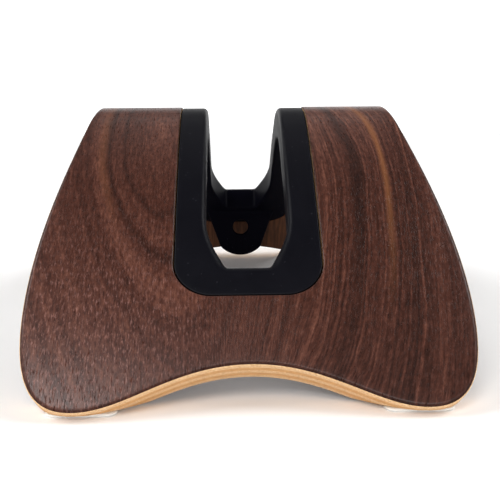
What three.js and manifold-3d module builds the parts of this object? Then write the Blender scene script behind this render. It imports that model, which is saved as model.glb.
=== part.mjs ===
// Vertical laptop stand: a sheet of plywood bent into a low arch, faced and backed with walnut,
// with a long slot along the top. A black silicone insert lines the slot, so that a closed laptop
// drops in on edge between two soft walls and rests on the rolled lips at the slot's ends.
// A tab of the same silicone hangs below the rear end of the slot and holds a cable in its
// hole. Four small pads keep the feet off the desk.
//
// Frame: millimetres, +Z up. The origin is on the desk, under the middle of the arch. +Y runs
// along the slot towards the rear, where the cable tab hangs, and +X is to the right.
//
// The sheet is described flat, before it is bent: x is across the stand and s is the distance
// along the outer face from the top of the bend. bend() turns a flat point and a depth below
// the outer face into a place on the stand.
import * as THREE from "three";
import Module from "manifold-3d";

// The bend of the sheet.
const STAND_HEIGHT = 71.7; // desk to the top of the bend
const CREST_RADIUS = 40; // outer face, over the top
const CREST_ANGLE = THREE.MathUtils.degToRad(28.5); // turned on each side of the top
const CREST_LENGTH = CREST_RADIUS * CREST_ANGLE;
const LEG_RADIUS = 238; // the legs keep turning down, gently

// The layers of the sheet, from the outer face inwards.
const SHEET_THICKNESS = 10.5;
const FACE_VENEER_THICKNESS = 0.6;
const BACK_VENEER_THICKNESS = 0.5;
const CORE_PLIES = 5;
const GLUE_LINE = 0.06;
const CORE_BOTTOM = SHEET_THICKNESS - BACK_VENEER_THICKNESS;
const PLY_PITCH = (CORE_BOTTOM - FACE_VENEER_THICKNESS) / CORE_PLIES;

// The flat outline of the sheet, one quarter of it.
const WAIST_HALF_WIDTH = 48.4; // at the top of the bend
const FLARE_HALF_WIDTH = 59.4; // at the widest place
const FLARE_S = 93;
const FOOT_TIP_X = 44.5;
const FOOT_TIP_S = 119.2;
const ARCH_S = 107.4; // middle of the scooped edge between two feet
const SIDE_EASE = [24.3, 30.2]; // how long the side edge keeps straight at waist and flare
const CORNER_EASE = [17.8, 10.8];
const ARCH_EASE = [13.3, 19.9];

// The slot in the wood.
const SLOT_HALF_WIDTH = 20.5;
const SLOT_END_S = 87.8;
const SLOT_CORNER_RADIUS = 10.5;

// The silicone insert.
const INSERT_GAP = 0.3; // to the wood, all round
const INSERT_SETBACK = 0.35; // below the outer face of the wood
const LAPTOP_HALF_GAP = 11.8;
const GAP_END_HALF_WIDTH = 6.1;
// Where the walls start to close in, and where the gap ends. It stops short at the rear, which
// leaves room for the cable tab.
const FRONT_GAP = { taperS: 60, endS: 78, lipRadius: 2.6 };
const REAR_GAP = { taperS: 55, endS: 76, lipRadius: 1.6 };
const TAPER_EASE = { wall: 8, endAcross: 2.9, endAlong: 6 }; // handles of the taper's curve
const SIDE_LIP_RADIUS = 1.5;
const UNDERSIDE_CHAMFER = 1;

// The cable tab, moulded on to the insert. Heights are above the desk.
const TAB_Y = 62;
const TAB_THICKNESS = 2.5;
const TAB_ROOT = { halfWidth: 14.6, z: 26.2 }; // inside the insert
const TAB_CHEEK = { halfWidth: 8.6, z: 9.1 }; // where the sides meet the rounded tip
const TAB_TIP_Z = 5.4;
const CABLE_HOLE = { radius: 3.25, z: 17.8 };

// The pads under the feet.
const PAD_LENGTH = 18;
const PAD_WIDTH = 5;
const PAD_THICKNESS = 1;
const PAD_X = 43;
const PAD_Y = 87.7;

const CUT_SIZE = 300; // of the block that cuts the feet level, larger than the stand

// How finely the curves are divided.
const CREST_STEPS = 5;
const LEG_STEPS = 7;
const SHEET_END_STEPS = { side: 2, corner: 7, arch: 6 };
const SLOT_END_STEPS = { corner: 8, end: 7 }; // as many in all as SHEET_END_STEPS
const INSERT_LEG_STEPS = 5;
const INSERT_END_STEPS = { side: 3, corner: 5, end: 4 };
const TAPER_STEPS = 8; // leaves as many for the floor as INSERT_END_STEPS needs
const RIM_STEPS = 3; // from the outline of the sheet to the slot
const TAB_CURVE_STEPS = 8;

const LOOKS = {
  walnut: { color: 0x5a3526, roughness: 0.5 },
  longPly: { color: 0xcfa878, roughness: 0.65 },
  crossPly: { color: 0xb98a5b, roughness: 0.7 },
  silicone: { color: 0x17171a, roughness: 0.6 },
  pad: { color: 0xdcdcd6, roughness: 0.3 },
};

const wasm = await Module();
wasm.setup();

const flat = (x, s) => new THREE.Vector2(x, s);

// The place on the stand of a flat point, at a depth below the outer face.
function bend(point, depth) {
  const along = Math.abs(point.y);
  const crestTilt = Math.min(along / CREST_RADIUS, CREST_ANGLE);
  const tilt = crestTilt + Math.max(0, along - CREST_LENGTH) / LEG_RADIUS;
  const reach =
    CREST_RADIUS * Math.sin(crestTilt) +
    LEG_RADIUS * (Math.sin(tilt) - Math.sin(crestTilt));
  const drop =
    CREST_RADIUS * (1 - Math.cos(crestTilt)) +
    LEG_RADIUS * (Math.cos(crestTilt) - Math.cos(tilt));
  return new THREE.Vector3(
    point.x,
    Math.sign(point.y) * (reach - depth * Math.sin(tilt)),
    STAND_HEIGHT - drop - depth * Math.cos(tilt),
  );
}

// Distances from the top of the bend, closer together where the bend is tight.
function stations(last, legSteps) {
  const crest = Array.from(
    { length: CREST_STEPS },
    (_, i) => (CREST_LENGTH * i) / CREST_STEPS,
  );
  const leg = Array.from({ length: legSteps + 1 }, (_, i) =>
    THREE.MathUtils.lerp(CREST_LENGTH, last, i / legSteps),
  );
  return [...crest, ...leg];
}

// The points of a curve after its first, at equal lengths along it.
const after = (curve, steps) => curve.getSpacedPoints(steps).slice(1);

// Mirrors a quarter of an outline, from its side to the middle of its end, into a loop. The
// front may have a quarter of its own.
function loopOf(rear, front = rear) {
  const mirrored = (points, sideX, sideS) =>
    points.slice(0, -1).map((p) => flat(sideX * p.x, sideS * p.y));
  return [
    ...mirrored(rear, 1, 1),
    ...mirrored([...rear].reverse(), -1, 1),
    ...mirrored(front, -1, -1),
    ...mirrored([...front].reverse(), 1, -1),
  ];
}

function sheetOutline() {
  const side = new THREE.CubicBezierCurve(
    flat(WAIST_HALF_WIDTH, 0),
    flat(WAIST_HALF_WIDTH, SIDE_EASE[0]),
    flat(FLARE_HALF_WIDTH, FLARE_S - SIDE_EASE[1]),
    flat(FLARE_HALF_WIDTH, FLARE_S),
  );
  const corner = new THREE.CubicBezierCurve(
    flat(FLARE_HALF_WIDTH, FLARE_S),
    flat(FLARE_HALF_WIDTH, FLARE_S + CORNER_EASE[0]),
    flat(FOOT_TIP_X + CORNER_EASE[1], FOOT_TIP_S),
    flat(FOOT_TIP_X, FOOT_TIP_S),
  );
  const arch = new THREE.CubicBezierCurve(
    flat(FOOT_TIP_X, FOOT_TIP_S),
    flat(FOOT_TIP_X - ARCH_EASE[0], FOOT_TIP_S),
    flat(ARCH_EASE[1], ARCH_S),
    flat(0, ARCH_S),
  );
  const straightS = SLOT_END_S - SLOT_CORNER_RADIUS;
  const lastSide = Array.from({ length: SHEET_END_STEPS.side }, (_, i) =>
    THREE.MathUtils.lerp(straightS, FLARE_S, (i + 1) / SHEET_END_STEPS.side),
  );
  const sidePoints = [...stations(straightS, LEG_STEPS), ...lastSide].map((s) =>
    side.getPointAt(s / FLARE_S),
  );
  return loopOf([
    ...sidePoints,
    ...after(corner, SHEET_END_STEPS.corner),
    ...after(arch, SHEET_END_STEPS.arch),
  ]);
}

// The rounded end of a straight slot, from its side to its middle.
function roundedEnd(halfWidth, endS, radius, steps) {
  const corner = new THREE.EllipseCurve(
    halfWidth - radius, endS - radius, radius, radius, 0, Math.PI / 2,
  );
  const end = new THREE.LineCurve(flat(halfWidth - radius, endS), flat(0, endS));
  return [...after(corner, steps.corner), ...after(end, steps.end)];
}

function slotOutline() {
  const side = stations(SLOT_END_S - SLOT_CORNER_RADIUS, LEG_STEPS);
  return loopOf([
    ...side.map((s) => flat(SLOT_HALF_WIDTH, s)),
    ...roundedEnd(SLOT_HALF_WIDTH, SLOT_END_S, SLOT_CORNER_RADIUS, SLOT_END_STEPS),
  ]);
}

// A closed ring of material from loops of points that go once round its section. Each patch
// is split along its shorter diagonal, so that the faces of two layers lie parallel.
function ringSolid(loops) {
  const count = loops[0].length;
  const points = loops.flat();
  const triangles = [];
  loops.forEach((_, k) => {
    const row = k * count;
    const nextRow = ((k + 1) % loops.length) * count;
    for (let i = 0; i < count; i++) {
      const j = (i + 1) % count;
      const [a, b, c, d] = [row + i, row + j, nextRow + j, nextRow + i];
      const alongAC = points[a].distanceTo(points[c]) <= points[b].distanceTo(points[d]);
      triangles.push(...(alongAC ? [a, b, c, a, c, d] : [a, b, d, b, c, d]));
    }
  });
  return solidFrom(points.flatMap((p) => [p.x, p.y, p.z]), triangles);
}

function solidFrom(positions, triangles) {
  return new wasm.Manifold(
    new wasm.Mesh({
      numProp: 3,
      vertProperties: new Float32Array(positions),
      triVerts: new Uint32Array(triangles),
    }),
  );
}

// A plate cut from a shape drawn in x and z, standing across the y axis.
function uprightPlate(shape, thickness, middleY) {
  const plate = new THREE.ExtrudeGeometry(shape, {
    depth: thickness,
    bevelEnabled: false,
    curveSegments: TAB_CURVE_STEPS,
  });
  plate.rotateX(Math.PI / 2);
  plate.translate(0, middleY + thickness / 2, 0);
  return mergedSolid(plate);
}

// A three.js geometry as a solid, with its shared corners merged.
function mergedSolid(geometry) {
  const source = geometry.getAttribute("position");
  const known = new Map();
  const positions = [];
  const triangles = Array.from({ length: source.count }, (_, i) => {
    const corner = [source.getX(i), source.getY(i), source.getZ(i)];
    const key = corner.map((v) => v.toFixed(4)).join();
    if (!known.has(key)) {
      known.set(key, known.size);
      positions.push(...corner);
    }
    return known.get(key);
  });
  return solidFrom(positions, triangles);
}

// One layer of the sheet between two depths, with its slot, cut level above the pads.
function layerSolid(top, bottom) {
  const sheet = sheetOutline();
  const slot = slotOutline();
  const across = Array.from({ length: RIM_STEPS + 1 }, (_, i) => i / RIM_STEPS);
  const face = (share, depth) =>
    sheet.map((p, i) => bend(p.clone().lerp(slot[i], share), depth));
  const layer = ringSolid([
    ...across.map((share) => face(share, top)),
    ...[...across].reverse().map((share) => face(share, bottom)),
  ]);
  const below = new THREE.BoxGeometry(CUT_SIZE, CUT_SIZE, CUT_SIZE).toNonIndexed();
  below.translate(0, 0, PAD_THICKNESS - CUT_SIZE / 2);
  return layer.subtract(mergedSolid(below));
}

// One quarter of the insert's outer edge and of the laptop gap, point for point.
function insertQuarter({ taperS, endS }) {
  const side = stations(taperS, INSERT_LEG_STEPS);
  const halfWidth = SLOT_HALF_WIDTH - INSERT_GAP;
  const outerEndS = SLOT_END_S - INSERT_GAP;
  const radius = SLOT_CORNER_RADIUS - INSERT_GAP;
  const lastSide = new THREE.LineCurve(
    flat(halfWidth, taperS),
    flat(halfWidth, outerEndS - radius),
  );
  const outer = [
    ...side.map((s) => flat(halfWidth, s)),
    ...after(lastSide, INSERT_END_STEPS.side),
    ...roundedEnd(halfWidth, outerEndS, radius, INSERT_END_STEPS),
  ];
  const taper = new THREE.CubicBezierCurve(
    flat(LAPTOP_HALF_GAP, taperS),
    flat(LAPTOP_HALF_GAP, taperS + TAPER_EASE.wall),
    flat(GAP_END_HALF_WIDTH + TAPER_EASE.endAcross, endS - TAPER_EASE.endAlong),
    flat(GAP_END_HALF_WIDTH, endS),
  );
  const gapEnd = new THREE.LineCurve(flat(GAP_END_HALF_WIDTH, endS), flat(0, endS));
  const endSteps =
    INSERT_END_STEPS.side + INSERT_END_STEPS.corner + INSERT_END_STEPS.end;
  const inner = [
    ...side.map((s) => flat(LAPTOP_HALF_GAP, s)),
    ...after(taper, TAPER_STEPS),
    ...after(gapEnd, endSteps - TAPER_STEPS),
  ];
  return { outer, inner };
}

// A loop moved outwards, away from the gap, by a distance that each point gives.
function grown(loop, distanceAt) {
  return loop.map((p, i) => {
    const before = loop[(i + loop.length - 1) % loop.length];
    const next = loop[(i + 1) % loop.length];
    const tangent = next.clone().sub(before).normalize();
    const distance = distanceAt(p);
    return flat(p.x + tangent.y * distance, p.y - tangent.x * distance);
  });
}

function lipRadiusAt(point) {
  const { taperS, endS, lipRadius } = point.y > 0 ? REAR_GAP : FRONT_GAP;
  const share = THREE.MathUtils.smoothstep(Math.abs(point.y), taperS, endS);
  return THREE.MathUtils.lerp(SIDE_LIP_RADIUS, lipRadius, share);
}

function insertSolid() {
  const [rear, front] = [REAR_GAP, FRONT_GAP].map(insertQuarter);
  const outer = loopOf(rear.outer, front.outer);
  const inner = loopOf(rear.inner, front.inner);
  const lip = (angle) => {
    const away = grown(inner, (p) => lipRadiusAt(p) * (1 - Math.sin(angle)));
    return away.map((p, i) =>
      bend(p, INSERT_SETBACK + lipRadiusAt(inner[i]) * (1 - Math.cos(angle))),
    );
  };
  const at = (loop, depth) => loop.map((p) => bend(p, depth));
  const ring = ringSolid([
    at(outer, INSERT_SETBACK),
    lip(0),
    lip(Math.PI / 4),
    lip(Math.PI / 2),
    at(inner, SHEET_THICKNESS - UNDERSIDE_CHAMFER),
    at(grown(inner, () => UNDERSIDE_CHAMFER), SHEET_THICKNESS),
    at(outer, SHEET_THICKNESS),
  ]);
  return ring.add(uprightPlate(cableTabShape(), TAB_THICKNESS, TAB_Y));
}

// Straight sides that narrow downwards, and a round tip through the two cheeks.
function cableTabShape() {
  const rise = TAB_CHEEK.z - TAB_TIP_Z;
  const tipRadius = (TAB_CHEEK.halfWidth ** 2 + rise ** 2) / (2 * rise);
  const tipTurn = Math.asin(TAB_CHEEK.halfWidth / tipRadius);
  const straightDown = -Math.PI / 2;
  const tip = new THREE.EllipseCurve(
    0, TAB_TIP_Z + tipRadius, tipRadius, tipRadius,
    straightDown - tipTurn, straightDown + tipTurn,
  );
  const tab = new THREE.Shape([
    flat(-TAB_ROOT.halfWidth, TAB_ROOT.z),
    ...tip.getPoints(TAB_CURVE_STEPS),
    flat(TAB_ROOT.halfWidth, TAB_ROOT.z),
  ]);
  const hole = new THREE.Path();
  hole.absarc(0, CABLE_HOLE.z, CABLE_HOLE.radius, 0, 2 * Math.PI, true);
  tab.holes.push(hole);
  return tab;
}

// A strip with round ends, lying on the desk.
function padSolid(x, y) {
  const radius = PAD_WIDTH / 2;
  const reach = PAD_LENGTH / 2 - radius;
  const strip = new THREE.Shape();
  strip.absarc(reach, 0, radius, -Math.PI / 2, Math.PI / 2, false);
  strip.absarc(-reach, 0, radius, Math.PI / 2, (3 * Math.PI) / 2, false);
  const pad = new THREE.ExtrudeGeometry(strip, {
    depth: PAD_THICKNESS - GLUE_LINE,
    bevelEnabled: false,
    curveSegments: TAB_CURVE_STEPS,
  });
  pad.translate(x, y, 0);
  return mergedSolid(pad);
}

const stand = new THREE.Group();
stand.name = "vertical_laptop_stand";

function addNode(name, solid, look) {
  const { vertProperties, triVerts } = solid.getMesh();
  const geometry = new THREE.BufferGeometry()
    .setAttribute("position", new THREE.BufferAttribute(vertProperties, 3))
    .setIndex(new THREE.BufferAttribute(triVerts, 1));
  const node = new THREE.Mesh(geometry, new THREE.MeshStandardMaterial(look));
  node.name = name;
  stand.add(node);
}

addNode("walnut_face_veneer", layerSolid(0, FACE_VENEER_THICKNESS - GLUE_LINE), LOOKS.walnut);
for (let ply = 1; ply <= CORE_PLIES; ply++) {
  const top = FACE_VENEER_THICKNESS + (ply - 1) * PLY_PITCH;
  const look = ply % 2 ? LOOKS.longPly : LOOKS.crossPly;
  addNode(`core_ply_${ply}`, layerSolid(top, top + PLY_PITCH - GLUE_LINE), look);
}
addNode("walnut_back_veneer", layerSolid(CORE_BOTTOM, SHEET_THICKNESS), LOOKS.walnut);
addNode("slot_insert", insertSolid(), LOOKS.silicone);
for (const [end, sideY] of [["front", -1], ["rear", 1]]) {
  for (const [side, sideX] of [["left", -1], ["right", 1]]) {
    addNode(`foot_pad_${end}_${side}`, padSolid(sideX * PAD_X, sideY * PAD_Y), LOOKS.pad);
  }
}

export default stand;
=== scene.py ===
import math

import bmesh
import bpy
import numpy as np
from mathutils import Matrix, Vector


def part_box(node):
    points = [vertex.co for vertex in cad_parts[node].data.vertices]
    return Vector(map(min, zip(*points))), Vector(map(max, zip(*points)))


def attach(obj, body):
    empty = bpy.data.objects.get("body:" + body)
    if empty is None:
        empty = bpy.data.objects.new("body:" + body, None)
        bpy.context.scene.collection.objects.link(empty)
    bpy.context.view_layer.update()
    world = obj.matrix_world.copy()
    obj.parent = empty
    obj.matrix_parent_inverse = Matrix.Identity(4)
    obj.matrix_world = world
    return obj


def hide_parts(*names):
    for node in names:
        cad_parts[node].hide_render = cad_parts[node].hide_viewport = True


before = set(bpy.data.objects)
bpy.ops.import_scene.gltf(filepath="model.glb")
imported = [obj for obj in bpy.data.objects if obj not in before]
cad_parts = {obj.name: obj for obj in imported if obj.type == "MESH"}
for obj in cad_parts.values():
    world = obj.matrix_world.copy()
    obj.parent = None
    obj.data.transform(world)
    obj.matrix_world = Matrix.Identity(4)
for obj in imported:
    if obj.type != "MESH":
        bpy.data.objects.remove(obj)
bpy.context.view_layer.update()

MM = 0.001

# The bend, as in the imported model.
CREST_RADIUS = 40.0
CREST_ANGLE = math.radians(28.5)
CREST_LENGTH = CREST_RADIUS * CREST_ANGLE
LEG_RADIUS = 238.0
STAND_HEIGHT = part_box("walnut_face_veneer")[1].z / MM
SHEET_THICKNESS = 10.5
FACE_VENEER_THICKNESS = 0.6
BACK_VENEER_THICKNESS = 0.5
CORE_PLIES = 5
GLUE_LINE = 0.03
CORE_BOTTOM = SHEET_THICKNESS - BACK_VENEER_THICKNESS
PLY_PITCH = (CORE_BOTTOM - FACE_VENEER_THICKNESS) / CORE_PLIES
FOOT_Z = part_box("core_ply_5")[0].z / MM

# The flat outline of the sheet, one quarter of it.
WAIST_HALF_WIDTH = 48.4
FLARE_HALF_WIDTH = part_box("walnut_face_veneer")[1].x / MM
FLARE_S = 93.0
FOOT_TIP = (44.5, 119.2)
ARCH_S = 107.4
SIDE_EASE = (24.3, 30.2)
CORNER_EASE = (17.8, 10.8)
ARCH_EASE = (13.3, 19.9)
OUTER_ROUNDING = 1.4    # the walnut is sanded through here, down to the light core
INNER_ROUNDING = 1.0

# The slot and its insert.
SLOT_HALF_WIDTH = 20.5
SLOT_END_S = 87.8
SLOT_CORNER_RADIUS = 10.5
SLOT_ROUNDING = 0.45
INSERT_GAP = 0.3
INSERT_SETBACK = 0.35
INSERT_ROUNDING = 0.4
LAPTOP_HALF_GAP = 11.8
GAP_END_HALF_WIDTH = 6.1
FRONT_GAP = (60.0, 78.0, 2.6)   # where the walls close in, where the gap ends, its lip's radius
REAR_GAP = (55.0, 76.0, 1.6)
TAPER_EASE = (8.0, 2.9, 6.0)    # handles of the taper's curve: wall, end across, end along
SIDE_LIP_RADIUS = 1.5
UNDERSIDE_ROUNDING = 1.0

# The cable tab under the rear end of the slot.
TAB_Y = 62.0
TAB_THICKNESS = 2.5
TAB_ROUNDING = 0.7
TAB_ROOT = (14.6, 26.2)     # half width, height above the desk
TAB_CHEEK = (8.6, 9.1)
TAB_TIP_Z = 5.4
TAB_ROOT_GROWTH = 0.9       # the root swells by this share of the thickness
TAB_SWELLING = (6.5, 1.5)   # from this far below the top of the root to this far below it
TAB_TIP_STEPS = 39
TAB_EDGE_STEPS = 80
TAB_ROUNDING_STEPS = 6
TAB_FACE_STEPS = 7
CABLE_HOLE_RADIUS = 3.25
CABLE_HOLE_Z = 17.8


# The foot pads.
PAD_RIM = 0.35
PAD_RIM_STEPS = 5
PAD_EDGE_STEPS = 96
PAD_FACE_SHARE = 0.45   # where the ring of faces ends and a single flat face begins


# ---------------------------------------------------------------- curves and loops

def bezier(p0, p1, p2, p3, steps=200):
    t = np.linspace(0, 1, steps + 1)[:, None]
    p0, p1, p2, p3 = (np.array(p, float) for p in (p0, p1, p2, p3))
    return (1 - t) ** 3 * p0 + 3 * (1 - t) ** 2 * t * p1 + 3 * (1 - t) * t ** 2 * p2 + t ** 3 * p3


def along(curve, shares):
    """Points of a polyline at shares of its length, from 0 to 1."""
    step = np.linalg.norm(np.diff(curve, axis=0), axis=1)
    length = np.concatenate([[0], np.cumsum(step)])
    return np.stack([np.interp(np.asarray(shares) * length[-1], length, curve[:, i]) for i in (0, 1)], 1)


def evenly(curve, steps):
    """The points after the first, at equal lengths."""
    return along(curve, np.linspace(0, 1, steps + 1)[1:])


def stations(last, crest_steps, leg_steps):
    crest = np.linspace(0, CREST_LENGTH, crest_steps + 1)[:-1]
    return np.concatenate([crest, np.linspace(CREST_LENGTH, last, leg_steps + 1)])


def straight_side(half_width, distances):
    return np.stack([np.full(len(distances), float(half_width)), distances], 1)


def rounded_end(half_width, end_s, radius, corner_steps, end_steps):
    """From the straight side of a slot round its corner to the middle of its end."""
    turn = np.linspace(0, math.pi / 2, corner_steps + 1)[1:]
    centre = np.array([half_width - radius, end_s - radius])
    corner = centre + radius * np.stack([np.cos(turn), np.sin(turn)], 1)
    end = np.linspace(corner[-1], (0, end_s), end_steps + 1)[1:]
    return np.concatenate([corner, end])


def loop_of(rear, front=None):
    """Mirrors a quarter outline, from its side to the middle of its end, into a closed loop. The
    front may have a quarter of its own."""
    front = rear if front is None else front
    parts = (rear, rear[::-1], front, front[::-1])
    signs = ((1, 1), (-1, 1), (-1, -1), (1, -1))
    return np.concatenate([part[:-1] * sign for part, sign in zip(parts, signs)])


def grown(loop, distance):
    """A loop moved outwards by a distance, which may differ from point to point."""
    tangent = np.roll(loop, -1, 0) - np.roll(loop, 1, 0)
    tangent /= np.linalg.norm(tangent, axis=1, keepdims=True)
    outwards = np.stack([tangent[:, 1], -tangent[:, 0]], 1)
    return loop + outwards * np.broadcast_to(distance, len(loop))[:, None]


def softened(loop, passes):
    """Rounds the corners of a loop a little."""
    for _ in range(passes):
        loop = (np.roll(loop, 1, 0) + 2 * loop + np.roll(loop, -1, 0)) / 4
    return loop


def smoothstep(low, high, value):
    t = np.clip((value - low) / (high - low), 0, 1)
    return t * t * (3 - 2 * t)


SHARP_ANGLE = math.radians(35)   # an edge that turns more than this isn't smoothed
ROUNDING_STEPS = 8
FACE_STEPS = 10                  # faces across the sheet, between its edge and the slot
INSERT_FACE_STEPS = 7            # across the insert's top and its underside
SOFTENING_PASSES = 2
SHEET_STEPS = {"crest": 14, "leg": 26, "side": 6, "corner": 26, "arch": 28}
INSERT_STEPS = {"crest": 14, "leg": 20, "side": 8, "corner": 16, "end": 14, "taper": 24}


def sheet_outline():
    flare = (FLARE_HALF_WIDTH, FLARE_S)
    side = bezier((WAIST_HALF_WIDTH, 0), (WAIST_HALF_WIDTH, SIDE_EASE[0]),
                  (FLARE_HALF_WIDTH, FLARE_S - SIDE_EASE[1]), flare)
    corner = bezier(flare, (FLARE_HALF_WIDTH, FLARE_S + CORNER_EASE[0]),
                    (FOOT_TIP[0] + CORNER_EASE[1], FOOT_TIP[1]), FOOT_TIP)
    arch = bezier(FOOT_TIP, (FOOT_TIP[0] - ARCH_EASE[0], FOOT_TIP[1]),
                  (ARCH_EASE[1], ARCH_S), (0, ARCH_S))
    straight_s = SLOT_END_S - SLOT_CORNER_RADIUS
    main = stations(straight_s, SHEET_STEPS["crest"], SHEET_STEPS["leg"])
    rest = np.linspace(straight_s, FLARE_S, SHEET_STEPS["side"] + 1)[1:]
    return loop_of(np.concatenate([
        along(side, np.concatenate([main, rest]) / FLARE_S),
        evenly(corner, SHEET_STEPS["corner"]),
        evenly(arch, SHEET_STEPS["arch"]),
    ]))


def slot_outline():
    main = stations(SLOT_END_S - SLOT_CORNER_RADIUS, SHEET_STEPS["crest"], SHEET_STEPS["leg"])
    end_steps = SHEET_STEPS["side"] + SHEET_STEPS["corner"] + SHEET_STEPS["arch"]
    corner_steps = end_steps // 2
    return loop_of(np.concatenate([
        straight_side(SLOT_HALF_WIDTH, main),
        rounded_end(SLOT_HALF_WIDTH, SLOT_END_S, SLOT_CORNER_RADIUS,
                    corner_steps, end_steps - corner_steps),
    ]))


def insert_quarter(gap):
    """One quarter of the insert's outer edge and of the laptop gap, point for point."""
    taper_s, end_s, _ = gap
    main = stations(taper_s, INSERT_STEPS["crest"], INSERT_STEPS["leg"])
    half_width = SLOT_HALF_WIDTH - INSERT_GAP
    outer_end_s = SLOT_END_S - INSERT_GAP
    radius = SLOT_CORNER_RADIUS - INSERT_GAP
    rest = np.linspace(taper_s, outer_end_s - radius, INSERT_STEPS["side"] + 1)[1:]
    outer = np.concatenate([
        straight_side(half_width, np.concatenate([main, rest])),
        rounded_end(half_width, outer_end_s, radius, INSERT_STEPS["corner"], INSERT_STEPS["end"]),
    ])
    wall_ease, across_ease, along_ease = TAPER_EASE
    taper = bezier((LAPTOP_HALF_GAP, taper_s), (LAPTOP_HALF_GAP, taper_s + wall_ease),
                   (GAP_END_HALF_WIDTH + across_ease, end_s - along_ease), (GAP_END_HALF_WIDTH, end_s))
    end_steps = INSERT_STEPS["side"] + INSERT_STEPS["corner"] + INSERT_STEPS["end"]
    gap_end = np.linspace((GAP_END_HALF_WIDTH, end_s), (0, end_s), end_steps - INSERT_STEPS["taper"] + 1)
    inner = np.concatenate([
        straight_side(LAPTOP_HALF_GAP, main),
        evenly(taper, INSERT_STEPS["taper"]),
        gap_end[1:],
    ])
    return outer, inner


def lip_radius(loop):
    """The rolled lip is fuller at the ends of the gap."""
    taper_s, end_s, end_radius = np.where(loop[:, 1:] > 0, REAR_GAP, FRONT_GAP).T
    share = smoothstep(taper_s, end_s, np.abs(loop[:, 1]))
    return SIDE_LIP_RADIUS + (end_radius - SIDE_LIP_RADIUS) * share


# ---------------------------------------------------------------- meshes

def bend(points):
    """Places on the stand, in metres, of flat points (x, s, depth) in millimetres."""
    x, s, depth = np.asarray(points, float).T
    far = np.abs(s)
    crest_tilt = np.minimum(far / CREST_RADIUS, CREST_ANGLE)
    tilt = crest_tilt + np.maximum(0, far - CREST_LENGTH) / LEG_RADIUS
    reach = CREST_RADIUS * np.sin(crest_tilt) + LEG_RADIUS * (np.sin(tilt) - np.sin(crest_tilt))
    drop = CREST_RADIUS * (1 - np.cos(crest_tilt)) + LEG_RADIUS * (np.cos(crest_tilt) - np.cos(tilt))
    y = np.sign(s) * (reach - depth * np.sin(tilt))
    z = STAND_HEIGHT - drop - depth * np.cos(tilt)
    return np.stack([x, y, z], 1) * MM


def ring_faces(rows, count, closed=True):
    """Four-sided faces between loops of count points that follow each other round a section."""
    faces = []
    for k in range(rows if closed else rows - 1):
        row, after = k * count, ((k + 1) % rows) * count
        for i in range(count):
            j = (i + 1) % count
            faces.append((row + i, row + j, after + j, after + i))
    return faces


def new_piece(name, places, faces, node, material, sheet_points=None, level_cut=None):
    mesh = bpy.data.meshes.new(name)
    mesh.from_pydata([tuple(p) for p in places], [], faces)
    if sheet_points is not None:
        kept = mesh.attributes.new("sheet", "FLOAT_VECTOR", "POINT")
        kept.data.foreach_set("vector", np.asarray(sheet_points, np.float32).ravel())
    piece = bpy.data.objects.new(name, mesh)
    bpy.context.scene.collection.objects.link(piece)
    tidy_mesh(mesh, level_cut)
    mesh.materials.append(material)
    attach(piece, "root")
    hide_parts(node)
    return piece


def tidy_mesh(mesh, level_cut):
    """Turns the faces outwards, cuts away what is below a level, and smooths the shading."""
    work = bmesh.new()
    work.from_mesh(mesh)
    if level_cut is not None:
        everything = work.verts[:] + work.edges[:] + work.faces[:]
        bmesh.ops.bisect_plane(work, geom=everything, plane_co=(0, 0, level_cut),
                               plane_no=(0, 0, 1), clear_inner=True)
        rim = [edge for edge in work.edges if edge.is_boundary]
        if rim:
            bmesh.ops.holes_fill(work, edges=rim, sides=0)
    bmesh.ops.recalc_face_normals(work, faces=work.faces[:])
    work.to_mesh(mesh)
    work.free()
    mesh.polygons.foreach_set("use_smooth", [True] * len(mesh.polygons))
    mesh.set_sharp_from_angle(angle=SHARP_ANGLE)


# ---------------------------------------------------------------- the wood

def rounding_inset(depth, thickness, top_radius, bottom_radius):
    """How far a rounded edge stands back at a depth."""
    inset = 0.0
    for radius, below in ((top_radius, depth), (bottom_radius, thickness - depth)):
        if below < radius:
            inset += radius - math.sqrt(radius ** 2 - (radius - below) ** 2)
    return inset


def wall_depths(top, bottom):
    """Depths of a layer's edge, closer together where the edge of the sheet is rounded."""
    angles = np.linspace(0, math.pi / 2, ROUNDING_STEPS + 1)
    least_step = 0.02
    curved = []
    for radius in (OUTER_ROUNDING, SLOT_ROUNDING):
        curved += list(radius * (1 - np.cos(angles)))
    curved += list(SHEET_THICKNESS - INNER_ROUNDING * (1 - np.cos(angles)))
    return [top] + sorted(d for d in curved if top + least_step < d < bottom - least_step) + [bottom]


def layer_piece(name, top, bottom, material):
    """One layer of the sheet, with the rounding that its edges have in the finished stand."""
    outline, slot_edge = sheet_outline(), slot_outline()
    depths = wall_depths(top, bottom)

    def outer_at(depth):
        inset = rounding_inset(depth, SHEET_THICKNESS, OUTER_ROUNDING, INNER_ROUNDING)
        return grown(outline, -inset)

    def slot_at(depth):
        inset = rounding_inset(depth, SHEET_THICKNESS, SLOT_ROUNDING, SLOT_ROUNDING)
        return grown(slot_edge, inset)

    def face_at(depth, shares):
        outer, inner = outer_at(depth), slot_at(depth)
        return [(outer + (inner - outer) * share, depth) for share in shares]

    shares = np.linspace(0, 1, FACE_STEPS + 1)
    section = face_at(top, shares)
    section += [(slot_at(d), d) for d in depths[1:-1]]
    section += face_at(bottom, shares[::-1])
    section += [(outer_at(d), d) for d in depths[-2:0:-1]]
    count = len(outline)
    points = np.concatenate([np.column_stack([loop, np.full(count, depth)]) for loop, depth in section])
    return new_piece(name, bend(points), ring_faces(len(section), count), name, material,
                     sheet_points=points, level_cut=FOOT_Z * MM)


# ---------------------------------------------------------------- the silicone

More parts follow.
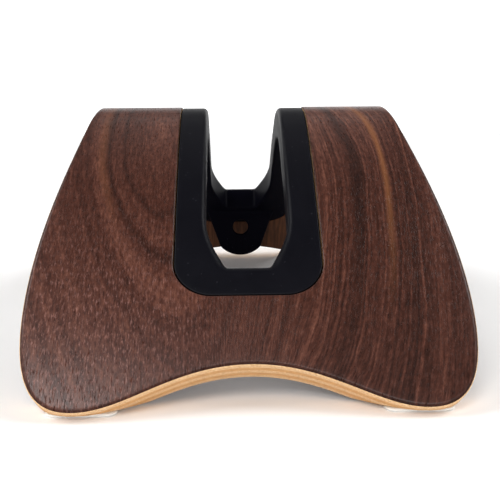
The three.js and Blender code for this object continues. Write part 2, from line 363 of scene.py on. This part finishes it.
def insert_piece(material):
    rear_outer, rear_inner = insert_quarter(REAR_GAP)
    front_outer, front_inner = insert_quarter(FRONT_GAP)
    outer = loop_of(rear_outer, front_outer)
    inner = softened(loop_of(rear_inner, front_inner), SOFTENING_PASSES)
    radius = lip_radius(inner)
    quarter = np.linspace(0, math.pi / 2, ROUNDING_STEPS + 1)
    section = []
    for angle in quarter:
        inset = INSERT_ROUNDING * (1 - math.cos(angle))
        depth = INSERT_SETBACK + INSERT_ROUNDING * (1 - math.sin(angle))
        section.append((grown(outer, -inset), depth))
    face_edge = section[-1][0]
    lip_edge = grown(inner, radius)
    for share in np.linspace(0, 1, INSERT_FACE_STEPS + 1)[1:-1]:
        section.append((face_edge + (lip_edge - face_edge) * share, INSERT_SETBACK))
    for angle in quarter:
        away = radius * (1 - math.sin(angle))
        section.append((grown(inner, away), INSERT_SETBACK + radius * (1 - math.cos(angle))))
    for angle in quarter:
        away = UNDERSIDE_ROUNDING * (1 - math.cos(angle))
        depth = SHEET_THICKNESS - UNDERSIDE_ROUNDING * (1 - math.sin(angle))
        section.append((grown(inner, away), depth))
    under_edge = section[-1][0]
    for share in np.linspace(0, 1, INSERT_FACE_STEPS + 1)[1:]:
        section.append((under_edge + (outer - under_edge) * share, SHEET_THICKNESS))
    count = len(outer)
    points = np.concatenate([np.column_stack([loop, np.broadcast_to(depth, count)])
                             for loop, depth in section])
    return new_piece("slot_insert_moulding", bend(points), ring_faces(len(section), count),
                     "slot_insert", material, sheet_points=points)


def tab_outline():
    """The tab's edge as (x, height), from the middle of its tip round to the same place."""
    rise = TAB_CHEEK[1] - TAB_TIP_Z
    tip_radius = (TAB_CHEEK[0] ** 2 + rise ** 2) / (2 * rise)
    turn = np.linspace(0, math.asin(TAB_CHEEK[0] / tip_radius), TAB_TIP_STEPS + 1)
    tip = np.stack([tip_radius * np.sin(turn), TAB_TIP_Z + tip_radius * (1 - np.cos(turn))], 1)
    half = along(np.concatenate([tip, [TAB_ROOT, (0, TAB_ROOT[1])]]), np.linspace(0, 1, TAB_EDGE_STEPS + 1))
    return np.concatenate([half[:-1], (half * (-1, 1))[:0:-1]])


def tab_piece(material):
    """The hanging tab: a plate with rounded edges, a round hole and a thickened root."""
    outline = softened(tab_outline(), SOFTENING_PASSES)
    count = len(outline)
    start = np.arctan2(outline[:, 1] - CABLE_HOLE_Z, outline[:, 0])
    hole = CABLE_HOLE_RADIUS * np.stack([np.cos(start), np.sin(start)], 1) + (0, CABLE_HOLE_Z)
    towards = (outline - hole) / np.linalg.norm(outline - hole, axis=1, keepdims=True)
    half = TAB_THICKNESS / 2

    def rim(edge, inwards, side):
        loops = []
        for angle in np.linspace(0, math.pi / 2, TAB_ROUNDING_STEPS + 1):
            shift = TAB_ROUNDING * (1 - math.cos(angle))
            loops.append((edge + inwards * shift, side * (half - TAB_ROUNDING * (1 - math.sin(angle)))))
        return loops

    def face(side):
        outer, inner = rim(outline, -towards, side), rim(hole, towards, side)
        start_edge, end_edge = outer[-1][0], inner[-1][0]
        shares = np.linspace(0, 1, TAB_FACE_STEPS + 1)[1:-1]
        flat_part = [(start_edge + (end_edge - start_edge) * share, side * half) for share in shares]
        return outer + flat_part + inner[::-1]

    section = face(1) + face(-1)[::-1]
    swelling_low, swelling_high = (TAB_ROOT[1] - below for below in TAB_SWELLING)
    places = []
    for loop, offset in section:
        root = 1 + TAB_ROOT_GROWTH * smoothstep(swelling_low, swelling_high, loop[:, 1]) ** 2
        places.append(np.stack([loop[:, 0], TAB_Y + offset * root, loop[:, 1]], 1))
    # The tab isn't part of the sheet: its attribute holds x, height and y.
    return new_piece("cable_tab", np.concatenate(places) * MM, ring_faces(len(section), count),
                     "slot_insert", material,
                     sheet_points=np.concatenate([p[:, (0, 2, 1)] for p in places]))


# ---------------------------------------------------------------- the foot pads

def pad_piece(node, material):
    """A strip with round ends and a softly rounded rim, in its CAD pad's place."""
    low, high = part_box(node)
    centre = (low + high) / 2
    size = (high - low) / MM
    radius = size.y / 2
    turn = np.linspace(0, 2 * math.pi, PAD_EDGE_STEPS, endpoint=False)
    loop = radius * np.stack([np.cos(turn), np.sin(turn)], 1)
    loop[:, 0] += np.sign(np.round(loop[:, 0], 6)) * (size.x / 2 - radius)
    section = [(PAD_FACE_SHARE, 0.0)]
    for angle in np.linspace(0, math.pi / 2, PAD_RIM_STEPS + 1):
        share = 1 - PAD_RIM / radius * (1 - math.sin(angle))
        section.append((share, PAD_RIM * (1 - math.cos(angle))))
    for angle in np.linspace(0, math.pi / 2, PAD_RIM_STEPS + 1):
        share = 1 - PAD_RIM / radius * (1 - math.cos(angle))
        section.append((share, size.z - PAD_RIM * (1 - math.sin(angle))))
    section.append((PAD_FACE_SHARE, size.z))
    places = np.concatenate([np.column_stack([loop * share, np.full(len(loop), z)])
                             for share, z in section])
    count = len(turn)
    faces = ring_faces(len(section), count, closed=False)
    faces.append(tuple(range(count)))
    faces.append(tuple(range((len(section) - 1) * count, len(section) * count)))
    places = places * MM + np.array([centre.x, centre.y, low.z])
    return new_piece(node, places, faces, node, material)


# ---------------------------------------------------------------- materials

class Shader:
    """A material's node tree. A node's inputs are numbers, vectors or other nodes' outputs."""

    def __init__(self, name):
        self.material = bpy.data.materials.new(name)
        self.material.use_nodes = True
        self.tree = self.material.node_tree
        self.tree.nodes.clear()
        self.output = self.tree.nodes.new("ShaderNodeOutputMaterial")

    def node(self, kind, inputs=None, **settings):
        made = self.tree.nodes.new("ShaderNode" + kind)
        for key, value in settings.items():
            setattr(made, key, value)
        for key, value in (inputs or {}).items():
            if isinstance(value, bpy.types.NodeSocket):
                self.tree.links.new(value, made.inputs[key])
            else:
                made.inputs[key].default_value = value
        return made

    def math(self, operation, *values, clamp=False):
        return self.node("Math", dict(enumerate(values)), operation=operation, use_clamp=clamp).outputs[0]

    def sheet(self):
        """The flat x, s and depth of the sheet, in millimetres."""
        point = self.node("Attribute", attribute_name="sheet").outputs["Vector"]
        parts = self.node("SeparateXYZ", {0: point})
        return parts.outputs[0], parts.outputs[1], parts.outputs[2]

    def vector(self, x, y, z=0.0):
        return self.node("CombineXYZ", {0: x, 1: y, 2: z}).outputs[0]

    def noise(self, vector, detail=2.0, roughness=0.5, distortion=0.0, scale=1.0):
        return self.node("TexNoise", {"Vector": vector, "Scale": scale, "Detail": detail,
                                      "Roughness": roughness, "Distortion": distortion}).outputs[0]

    def line_noise(self, value, detail=2.0, roughness=0.5):
        return self.node("TexNoise", {"W": value, "Scale": 1.0, "Detail": detail, "Roughness": roughness},
                         noise_dimensions="1D").outputs[0]

    def between(self, value, low, high, to_low=0.0, to_high=1.0):
        return self.node("MapRange", {0: value, 1: low, 2: high, 3: to_low, 4: to_high},
                         interpolation_type="SMOOTHSTEP").outputs[0]

    def bump_at(self, value, centre, width):
        """1 where value is centre, falling smoothly to 0 a width away."""
        away = self.math("ABSOLUTE", self.math("SUBTRACT", value, centre))
        return self.between(away, 0.0, width, 1.0, 0.0)

    def blend(self, share, low, high):
        made = self.node("Mix", {0: share}, data_type="RGBA")
        for key, value in ((6, low), (7, high)):
            if isinstance(value, bpy.types.NodeSocket):
                self.tree.links.new(value, made.inputs[key])
            else:
                made.inputs[key].default_value = (*value, 1)
        return made.outputs[2]

    def ramp(self, value, stops):
        made = self.node("ValToRGB", {0: value})
        elements = made.color_ramp.elements
        while len(elements) < len(stops):
            elements.new(0.5)
        for element, (position, colour) in zip(elements, stops):
            element.position = position
            element.color = (*colour, 1)
        return made.outputs[0]

    def mix(self, share, low, high):
        return self.node("Mix", {0: share, 2: low, 3: high}, data_type="FLOAT").outputs[0]

    def total(self, parts):
        result = parts[0]
        for part in parts[1:]:
            result = self.math("ADD", result, part)
        return result

    def stretched(self, place, scale):
        """A place with each of its coordinates multiplied."""
        return self.vector(*(self.math("MULTIPLY", value, factor) for value, factor in zip(place, scale)))

    def finish(self, height=None, bump_distance=0.0, **inputs):
        """Principled shading. An input's name has an underscore for each space."""
        shader = self.node("BsdfPrincipled", {key.replace("_", " "): value for key, value in inputs.items()})
        if height is not None:
            bump = self.node("Bump", {"Height": height, "Distance": bump_distance, "Strength": 1.0})
            self.tree.links.new(bump.outputs[0], shader.inputs["Normal"])
        self.tree.links.new(shader.outputs[0], self.output.inputs[0])
        return self.material


def srgb(red, green, blue):
    """A colour given as 0 to 255 steps of sRGB, in linear light."""
    shares = [step / 255 for step in (red, green, blue)]
    return tuple(v / 12.92 if v <= 0.04045 else ((v + 0.055) / 1.055) ** 2.4 for v in shares)


# The walnut's figure. Positions are in millimetres on the flat sheet: x, and "front", the distance
# from the crest towards the front feet. A ring is (distance across the rings, half width, tone).
HEART_X = -26.5            # where the arches are centred, until the heart drifts off to the right
HEART_DRIFT_START = 25.0
HEART_DRIFT = 0.0017
ARCH_CENTRE = 22.0         # and along the grain
ARCH_FLATTENING = 0.08     # how much less a step along the grain counts than one across it
BOW_CENTRE = 45.0          # where the stripes lie furthest right
BOW_SHRINK = (-5.0, 25.0, 0.66)    # between these distances from there it weakens to this share
BOW_STRAIGHTENING = -0.3   # the bow grows straighter beyond the crest
STRIPE_BOW = 0.00588
STRIPE_BOW_LOSS = 0.000084     # the bow fades towards the right
SIDE_CHANGE = (-12.0, 14.0)    # from the arches on the left to the stripes on the right
ARCH_RINGS = (
    (0.0, 6.0, 0.14), (11.0, 1.1, -0.16), (15.2, 1.3, -0.2), (18.0, 3.0, 0.12),
    (22.5, 3.0, -0.1), (28.5, 1.6, -0.08), (33.0, 2.6, 0.05),
)
STRIPE_RINGS = ((50.5, 4.5, 0.14), (66.3, 1.6, 0.16), (73.0, 3.0, -0.12), (80.0, 4.0, 0.08))
DARK_STRIPE = (59.6, 2.6)
ORANGE_STREAK = (67.8, 1.5, 0.55)
LEFT_STREAK = (17.0, 2.0, 0.15)
WALNUT_TONES = (
    (0.0, (28, 11, 7)), (0.28, (47, 22, 14)), (0.5, (65, 34, 25)), (0.75, (91, 54, 42)), (1.0, (122, 81, 65)),
)
STREAK_COLOUR = (140, 88, 52)
# pale pinkish flecks: faint grain all over, painted sheen at the lower left
FLECK_AND_SHEEN_COLOUR = (160, 116, 108)
EDGE_COLOUR = (30, 14, 9)
VESSEL_COLOUR = (96, 56, 26)


def cathedral_rings(sh, x, front):
    """The distance across the growth rings, in mm: nested pointed arches left of the slot, where
    the saw passed the heart of the log, and long curved stripes right of it."""
    drift = sh.math("MAXIMUM", sh.math("SUBTRACT", front, HEART_DRIFT_START), 0.0)
    heart_x = sh.math("MULTIPLY_ADD", sh.math("MULTIPLY", drift, drift), HEART_DRIFT, HEART_X)
    across = sh.math("SUBTRACT", x, heart_x)
    along_grain = sh.math("SUBTRACT", front, ARCH_CENTRE)
    flattened = sh.math("MULTIPLY", sh.math("MULTIPLY", along_grain, along_grain), ARCH_FLATTENING)
    arches = sh.math("SQRT", sh.math("ADD", sh.math("MULTIPLY", across, across), flattened))

    from_bow = sh.math("SUBTRACT", front, BOW_CENTRE)
    near = sh.math("MAXIMUM", from_bow, -BOW_CENTRE)
    beyond = sh.math("MAXIMUM", sh.math("SUBTRACT", -BOW_CENTRE, from_bow), 0.0)
    shrink_start, shrink_end, shrunk = BOW_SHRINK
    steepness = sh.between(from_bow, shrink_start, shrink_end, 1.0, shrunk)
    bow_near = sh.math("MULTIPLY", sh.math("MULTIPLY", near, near), steepness)
    slope_beyond = sh.math("MULTIPLY_ADD", beyond, BOW_STRAIGHTENING, 2 * BOW_CENTRE)
    bow = sh.math("ADD", bow_near, sh.math("MULTIPLY", beyond, slope_beyond))
    fading = sh.math("MULTIPLY_ADD", x, -STRIPE_BOW_LOSS, STRIPE_BOW)
    stripes = sh.math("ADD", x, sh.math("MULTIPLY_ADD", bow, fading, -HEART_X))
    return arches, stripes, sh.between(x, *SIDE_CHANGE)


def walnut():
    """Flat-sawn black walnut under satin lacquer."""
    sh = Shader("walnut_veneer")
    x, s, depth = sh.sheet()
    front = sh.math("MULTIPLY", s, -1.0)
    broad = sh.noise(sh.stretched((x, s, depth), (0.05, 0.016, 1.0)), detail=1)
    small = sh.noise(sh.stretched((x, s, depth), (0.35, 0.05, 1.0)), detail=1)
    wander = sh.math("MULTIPLY_ADD", broad, 5.0, sh.math("MULTIPLY", small, 1.1))
    mean_wander = 3.05
    wandering_x = sh.math("ADD", x, sh.math("SUBTRACT", wander, mean_wander))
    arches, stripes, side = cathedral_rings(sh, wandering_x, front)

    def band(value, centre, width, strength):
        return sh.math("MULTIPLY", sh.bump_at(value, centre, width), strength)

    # Growth rings: those drawn one by one, and finer ones at random distances.
    arch_tone = sh.total([band(arches, *ring) for ring in ARCH_RINGS])
    dark_stripe = band(stripes, *DARK_STRIPE, sh.between(front, 95.0, 55.0, -0.1, -0.3))
    stripe_tone = sh.total([dark_stripe] + [band(stripes, *ring) for ring in STRIPE_RINGS])
    drawn_tone = sh.mix(side, arch_tone, stripe_tone)
    ring_place = sh.mix(side, arches, stripes)
    rings = sh.line_noise(sh.math("MULTIPLY", ring_place, 0.34), detail=3, roughness=0.65)
    lines = sh.line_noise(sh.math("MULTIPLY", ring_place, 1.3), detail=1)
    line_strength = sh.math("MULTIPLY_ADD", side, 0.35, 0.15)

    # Fibres run along s; the pores are short dark scratches in the same direction.
    grain = (sh.mix(side, x, stripes), s, depth)
    fibres = sh.noise(sh.stretched(grain, (1.5, 0.14, 1.0)), detail=3, roughness=0.65)
    mottle = sh.noise(sh.stretched(grain, (0.9, 0.5, 1.0)), detail=3, roughness=0.75)
    pore_field = sh.noise(sh.stretched(grain, (3.4, 0.42, 1.0)), detail=2, roughness=0.6)
    pores = sh.between(pore_field, 0.56, 0.7)

    # Pale flecks in the open grain, faint all over; at the lower left they grow much stronger and, with the
    # lighter tone there, are a painted sheen of the lacquer.
    painted_sheen_low_left = sh.math("MULTIPLY", sh.between(front, 50.0, 100.0), sh.between(x, 15.0, -40.0))
    other_place = 7.0
    fleck_place = sh.stretched((grain[0], s, other_place), (1.9, 0.5, 1.0))
    fleck_field = sh.noise(fleck_place, detail=3, roughness=0.7)
    flecks_and_painted_sheen = sh.math("MULTIPLY", sh.between(fleck_field, 0.5, 0.72),
                     sh.math("MULTIPLY_ADD", painted_sheen_low_left, 0.42, 0.06))

    mean_tone = 0.51
    # On the right, painted light and shade: lighter near the crest, darker down the front leg.
    painted_light_and_shade_right = sh.math("MULTIPLY", sh.between(x, 0.0, 30.0), sh.between(front, 5.0, 55.0, 0.13, -0.09))
    tone = sh.total([
        sh.math("MULTIPLY_ADD", rings, 0.45, -0.225),
        sh.math("MULTIPLY", sh.math("SUBTRACT", lines, 0.5), line_strength),
        sh.math("MULTIPLY_ADD", fibres, 0.8, -0.4),
        sh.math("MULTIPLY_ADD", mottle, 0.75, -0.375),
        drawn_tone,
        sh.math("MULTIPLY", pores, -0.13),
        # painted sheen: the lower left is made lighter
        sh.math("MULTIPLY", painted_sheen_low_left, 0.08),
        painted_light_and_shade_right,
        # painted sheen: a little lighter near the crest, a little darker below it
        sh.between(front, 5.0, 30.0, 0.02, -0.02),
        mean_tone,
    ])
    colour = sh.ramp(tone, [(position, srgb(*steps)) for position, steps in WALNUT_TONES])
    along_front = sh.math("MULTIPLY", sh.between(front, 100.0, 30.0), sh.between(front, -60.0, -20.0))
    streak = sh.math("MULTIPLY", band(stripes, *ORANGE_STREAK), along_front)
    left_streak = sh.math("MULTIPLY", band(arches, *LEFT_STREAK), sh.between(x, -34.0, -44.0))
    colour = sh.blend(sh.math("ADD", streak, left_streak), colour, srgb(*STREAK_COLOUR))
    colour = sh.blend(flecks_and_painted_sheen, colour, srgb(*FLECK_AND_SHEEN_COLOUR))

    # The cut edge of the veneer soaks up the lacquer, and is darker and duller than its face.
    edge = sh.between(depth, 0.02, 0.2)
    colour = sh.blend(sh.math("MULTIPLY", edge, 0.4), colour, srgb(*EDGE_COLOUR))
    roughness = sh.math("MULTIPLY_ADD", fibres, 0.14, sh.math("MULTIPLY_ADD", pores, 0.3, 0.25))
    roughness = sh.math("MULTIPLY_ADD", edge, 0.2, roughness)
    face_gloss = sh.math("MULTIPLY_ADD", pores, -0.3, 0.33)
    gloss = sh.math("MULTIPLY_ADD", edge, -0.2, face_gloss, clamp=True)
    height = sh.math("MULTIPLY_ADD", pores, -0.6, sh.math("MULTIPLY", fibres, 0.5))
    return sh.finish(height=height, bump_distance=0.00004, Base_Color=colour, Roughness=roughness,
                     Specular_IOR_Level=gloss)


def plain_wood(name, light, dark, grain_scale, pore_depth, roughness):
    """Wood with straight grain: fine noise stretched along its fibres, with darker vessels."""
    sh = Shader(name)
    grain = sh.stretched(sh.sheet(), grain_scale)
    fibres = sh.noise(grain, detail=4, roughness=0.6)
    colour = sh.blend(sh.between(fibres, 0.3, 0.7), srgb(*dark), srgb(*light))
    vessels = sh.between(sh.noise(grain, detail=1, scale=2.2), 0.58, 0.7)
    colour = sh.blend(sh.math("MULTIPLY", vessels, pore_depth), colour, srgb(*VESSEL_COLOUR))
    return sh.finish(height=fibres, bump_distance=0.00003, Base_Color=colour, Roughness=roughness,
                     Specular_IOR_Level=0.25)


def silicone():
    """Matt moulded rubber with a fine texture, a little dust and soft handling marks."""
    sh = Shader("black_silicone")
    x, s, depth = sh.sheet()
    place = sh.vector(x, s, depth)
    grit = sh.noise(place, detail=2, scale=5.0)
    marks = sh.noise(place, detail=3, roughness=0.6, distortion=0.6, scale=0.09)
    dust = sh.between(sh.noise(place, detail=0, scale=1.3), 0.82, 0.86)
    tint = sh.blend(marks, (0.0010, 0.0010, 0.0026), (0.0022, 0.0020, 0.0046))
    colour = sh.blend(sh.math("MULTIPLY", dust, 0.35), tint, (0.05, 0.05, 0.06))
    roughness = sh.math("MULTIPLY_ADD", marks, 0.14, sh.math("MULTIPLY_ADD", grit, 0.06, 0.34))

    # The face is polished by use; the walls of the gap and the tab keep the dull skin of the mould.
    gloss = sh.between(depth, 1.0, 2.6, 0.12, 0.02)
    return sh.finish(height=grit, bump_distance=0.00001, Base_Color=colour, Roughness=roughness,
                     Specular_IOR_Level=gloss)


def milky_pad():
    """Plain milky plastic."""
    sh = Shader("clear_pad")
    return sh.finish(Base_Color=(*srgb(232, 232, 228), 1), Roughness=0.55)


# ---------------------------------------------------------------- the stand

walnut_material = walnut()
back_material = plain_wood("walnut_back", (98, 60, 36), (60, 33, 16), (1.2, 0.06, 1.2), 0.0, 0.65)
long_grain = plain_wood("long_grain_ply", (236, 200, 156), (204, 160, 112), (2.4, 0.08, 3.5), 0.28, 0.6)
cross_grain = plain_wood("cross_grain_ply", (220, 171, 115), (192, 140, 88), (0.08, 2.4, 3.5), 0.2, 0.6)

layer_piece("walnut_face_veneer", 0.0, FACE_VENEER_THICKNESS - GLUE_LINE, walnut_material)
for ply in range(1, CORE_PLIES + 1):
    top = FACE_VENEER_THICKNESS + (ply - 1) * PLY_PITCH
    odd = ply % 2 == 1
    slot, material = ("long_grain_ply", long_grain) if odd else ("cross_grain_ply", cross_grain)
    layer_piece(f"core_ply_{ply}", top, top + PLY_PITCH - GLUE_LINE, material)
layer_piece("walnut_back_veneer", CORE_BOTTOM, SHEET_THICKNESS, back_material)
silicone_material = silicone()
insert_piece(silicone_material)
tab_piece(silicone_material)
pad_material = milky_pad()
for end in ("front", "rear"):
    for side in ("left", "right"):
        pad_piece(f"foot_pad_{end}_{side}", pad_material)


# ---------------------------------------------------------------- stage, light and camera

CAMERA_PLACE = Vector((-5.5, -276.8, 14.0 + STAND_HEIGHT)) * MM
CAMERA_DOWN = math.radians(13.02)
CAMERA_RIGHT = math.radians(1.62)
CAMERA_ROLL = math.radians(-0.32)
CAMERA_LENS = 57.6
CAMERA_SENSOR = 36.0
FLOOR_REACH = 0.75
FLOOR_GREY = 0.94
HORIZON_BRIGHTNESS = 1.35   # up to the first of these angles; the sky is dark beyond the second
SKY_BRIGHTNESS = 0.08
HORIZON_ANGLES = (math.radians(11), math.radians(30))

# Softboxes: name, direction seen from the stand, distance and size in metres, brightness.
SOFTBOXES = (
    ("key", (-0.3, -0.65, 0.7), 2.6, 0.8, 11.0),
    ("right_box", (1.0, 0.1, 0.9), 3.2, 1.8, 5.6),
    ("left_box", (-1.0, 0.1, 0.9), 3.2, 1.8, 5.8),
    ("back_box", (0.0, 0.6, 0.85), 3.2, 1.4, 0.7),
    ("front_fill", (0.1, -1.0, 0.35), 3.6, 1.8, 2.6),
)


def add_stage():
    mesh = bpy.data.meshes.new("floor")
    corners = [(x * FLOOR_REACH, y * FLOOR_REACH, 0) for x, y in ((-1, -1), (1, -1), (1, 1), (-1, 1))]
    mesh.from_pydata(corners, [], [(0, 1, 2, 3)])
    floor = bpy.data.objects.new("floor", mesh)
    bpy.context.scene.collection.objects.link(floor)
    sh = Shader("floor_paper")
    mesh.materials.append(sh.finish(Base_Color=(FLOOR_GREY, FLOOR_GREY, FLOOR_GREY, 1), Roughness=0.9))


def add_softbox(name, direction, distance, size, radiance):
    """A square area light with a given brightness, in the direction seen from the stand."""
    lamp = bpy.data.lights.new(name, "AREA")
    lamp.shape = "SQUARE"
    lamp.size = size
    lamp.energy = radiance * math.pi * size ** 2
    softbox = bpy.data.objects.new(name, lamp)
    way = Vector(direction).normalized()
    softbox.location = way * distance
    softbox.rotation_euler = way.to_track_quat("Z", "Y").to_euler()
    bpy.context.scene.collection.objects.link(softbox)


def add_world():
    """Bright near the horizon and dark overhead, as in a studio with white walls."""
    world = bpy.data.worlds.new("studio")
    world.use_nodes = True
    tree = world.node_tree
    place = tree.nodes.new("ShaderNodeTexCoord")
    parts = tree.nodes.new("ShaderNodeSeparateXYZ")
    fade = tree.nodes.new("ShaderNodeMapRange")
    fade.interpolation_type = "SMOOTHSTEP"
    low, high = (math.sin(angle) for angle in HORIZON_ANGLES)
    for key, value in ((1, low), (2, high), (3, HORIZON_BRIGHTNESS), (4, SKY_BRIGHTNESS)):
        fade.inputs[key].default_value = value
    tree.links.new(place.outputs["Generated"], parts.inputs[0])
    tree.links.new(parts.outputs["Z"], fade.inputs[0])
    tree.links.new(fade.outputs[0], tree.nodes["Background"].inputs["Strength"])
    tree.nodes["Background"].inputs["Color"].default_value = (1, 1, 1, 1)
    bpy.context.scene.world = world


def add_light():
    add_world()
    for softbox in SOFTBOXES:
        add_softbox(*softbox)


def add_camera():
    camera = bpy.data.cameras.new("camera")
    camera.lens = CAMERA_LENS
    camera.sensor_width = CAMERA_SENSOR
    camera.clip_start = 0.01
    holder = bpy.data.objects.new("camera", camera)
    heading = Matrix.Rotation(-CAMERA_RIGHT, 4, "Z")
    pitch = Matrix.Rotation(math.pi / 2 - CAMERA_DOWN, 4, "X")
    roll = Matrix.Rotation(CAMERA_ROLL, 4, "Z")
    holder.matrix_world = Matrix.Translation(CAMERA_PLACE) @ heading @ pitch @ roll
    bpy.context.scene.collection.objects.link(holder)
    bpy.context.scene.camera = holder


add_stage()
add_light()
add_camera()
bpy.context.scene.view_settings.view_transform = "Standard"

bpy.context.view_layer.update()
